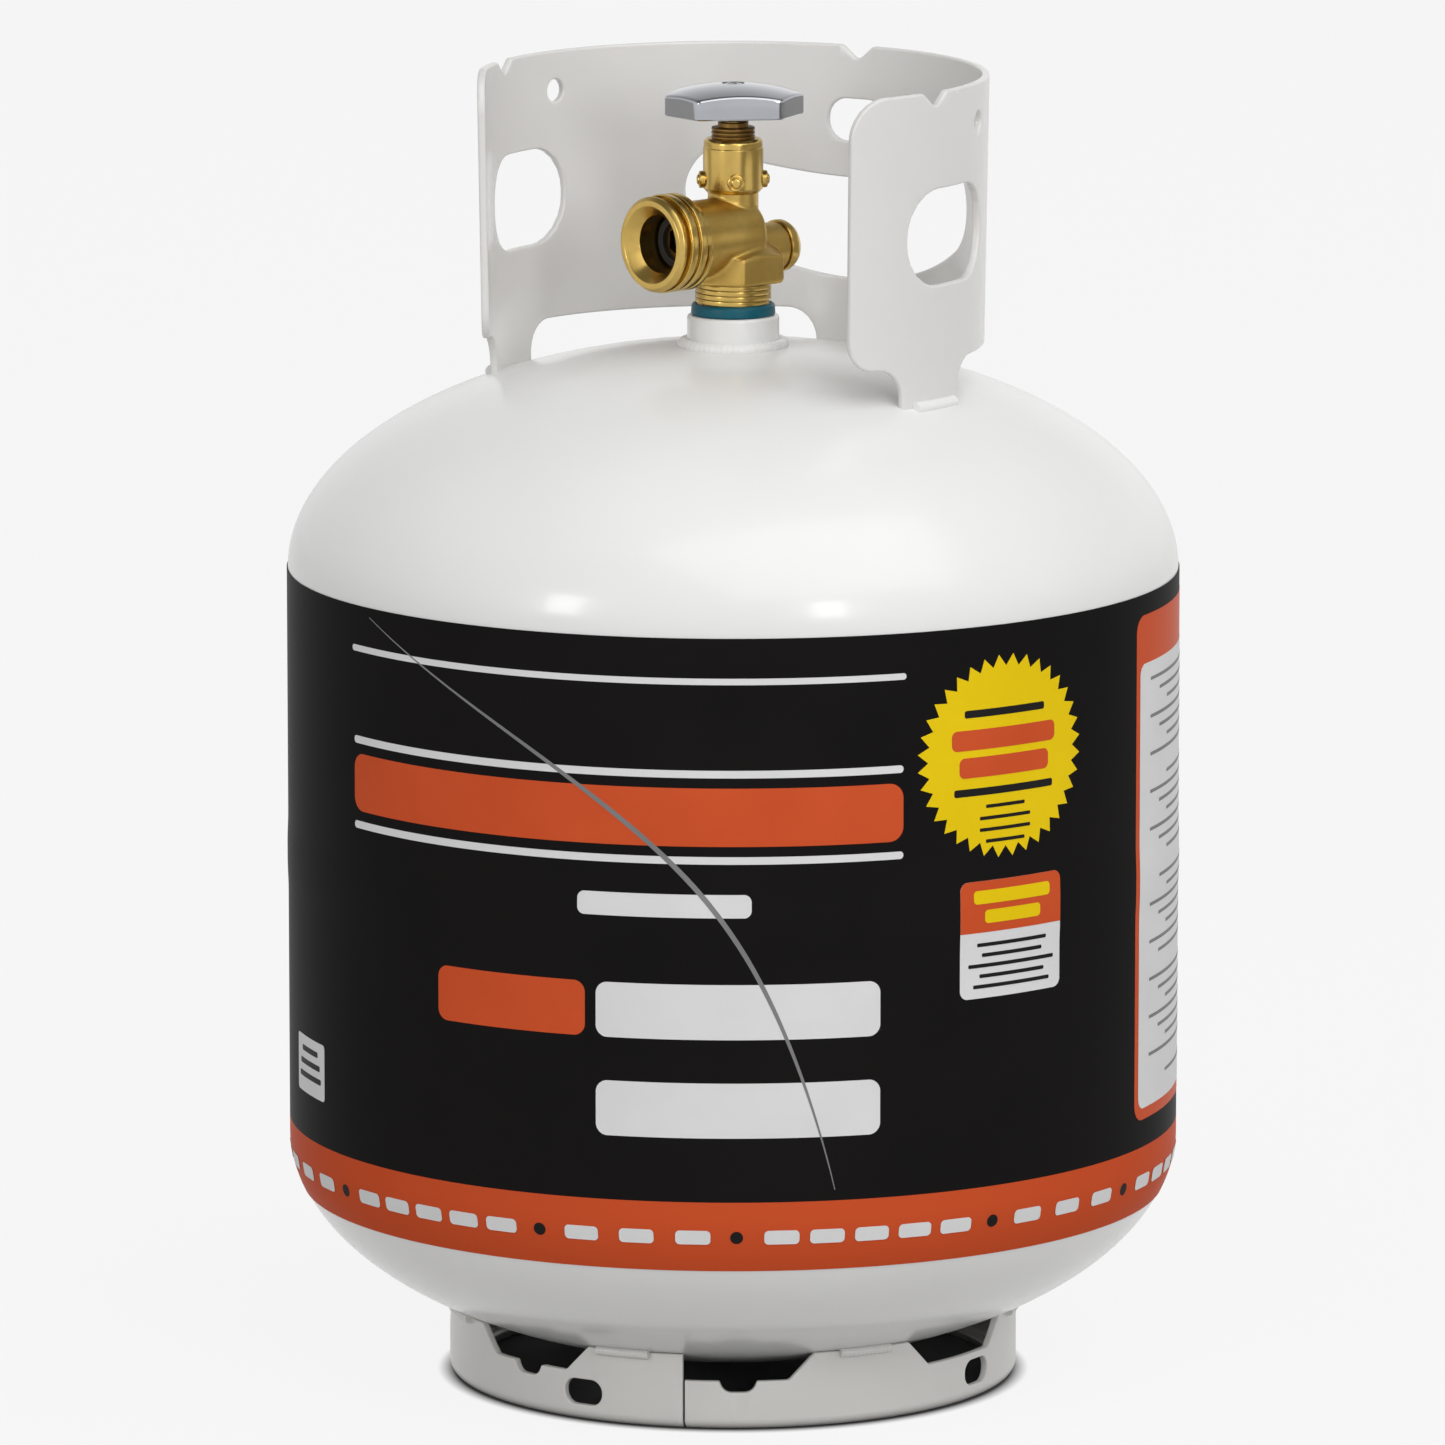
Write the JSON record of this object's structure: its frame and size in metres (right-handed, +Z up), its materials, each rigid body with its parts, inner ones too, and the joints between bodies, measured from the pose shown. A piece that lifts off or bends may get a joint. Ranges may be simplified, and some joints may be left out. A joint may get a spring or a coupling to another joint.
{
  "type": "propane cylinder",
  "caption": "Portable steel propane cylinder with welded foot ring, carrying collar, printed sleeve and a brass valve with a turning handwheel.",
  "frame": {"origin": "centre of the foot ring's underside, on the cylinder's axis", "axes": "+Z up along the cylinder's axis; -Y is the front, where the collar is open"},
  "size_m": [0.3124, 0.3124, 0.4585],
  "materials": {
    "shell_paint": "gloss powder coat",
    "ring_paint": "gloss powder coat",
    "sleeve_film": "printed shrink film",
    "forged_brass": "forged and turned",
    "wheel_chrome": "bright cast",
    "sealant": "dried thread sealant",
    "black_rubber": "moulded",
    "spring_steel": "drawn wire",
    "float_plastic": "moulded"
  },
  "bodies": {
    "tank": {"upper_shell": "shell_paint", "lower_shell": "shell_paint", "girth_weld": "shell_paint", "label_sleeve": "sleeve_film", "neck_boss": "shell_paint", "neck_weld": "shell_paint", "foot_ring": "ring_paint", "foot_ring_welds": "ring_paint", "collar": "ring_paint", "collar_welds": "ring_paint", "valve_body": "forged_brass", "thread_sealant": "sealant", "bonnet": "forged_brass", "gland_nut": "forged_brass", "check_retainer": "forged_brass", "outlet_gasket": "black_rubber", "check_spring": "spring_steel", "relief_cap": "forged_brass", "relief_spring": "spring_steel", "dip_tube": "forged_brass", "opd_housing": "forged_brass", "opd_pivot_pin": "spring_steel"},
    "handwheel": {"handwheel": "wheel_chrome", "handwheel_screw": "wheel_chrome", "stem": "forged_brass", "stem_o_rings": "black_rubber"},
    "seat_plug": {"seat_plug": "forged_brass", "seat_disc": "black_rubber"},
    "outlet_check": {"check_poppet": "forged_brass"},
    "relief_poppet": {"relief_poppet": "forged_brass"},
    "bleeder": {"bleeder_screw": "forged_brass"},
    "opd_piston": {"opd_piston": "forged_brass"},
    "float": {"float_arm": "spring_steel", "fill_float": "float_plastic"}
  },
  "joints": [
    {"name": "wheel_turn", "type": "hinge", "parent": "tank", "child": "handwheel", "pos_m": [0, 0, 0.444], "axis": [0, 0, 1], "range_deg": [0, 540]},
    {"name": "seat_lift", "type": "slide", "parent": "handwheel", "child": "seat_plug", "axis": [0, 0, 1], "range_m": [0, 0.00225]},
    {"name": "check_slide", "type": "slide", "parent": "tank", "child": "outlet_check", "axis": [0.7431, 0.6691, 0], "range_m": [0, 0.0025], "stiffness_N_per_m": 800, "springref_m": -0.003, "deforming": ["check_spring"]},
    {"name": "relief_slide", "type": "slide", "parent": "tank", "child": "relief_poppet", "axis": [0.7431, 0.6691, 0], "range_m": [0, 0.002], "stiffness_N_per_m": 2000, "springref_m": -0.004, "deforming": ["relief_spring"]},
    {"name": "bleeder_turn", "type": "hinge", "parent": "tank", "child": "bleeder", "pos_m": [-0.01372, 0.01523, 0.391], "axis": [-0.6691, 0.7431, 0], "range_deg": [0, 360]},
    {"name": "float_swing", "type": "hinge", "parent": "tank", "child": "float", "pos_m": [0.00201, -0.00223, 0.312], "axis": [-0.7431, -0.6691, 0], "range_deg": [0, 80]},
    {"name": "piston_lift", "type": "slide", "parent": "tank", "child": "opd_piston", "axis": [0, 0, 1], "range_m": [0, 0.0031]}
  ],
  "couplings": [
    {"joint": "wheel_turn", "follows": "seat_lift", "rad_per_m": 4188.8},
    {"joint": "piston_lift", "follows": "float_swing", "m_per_rad": 0.0021486}
  ]
}
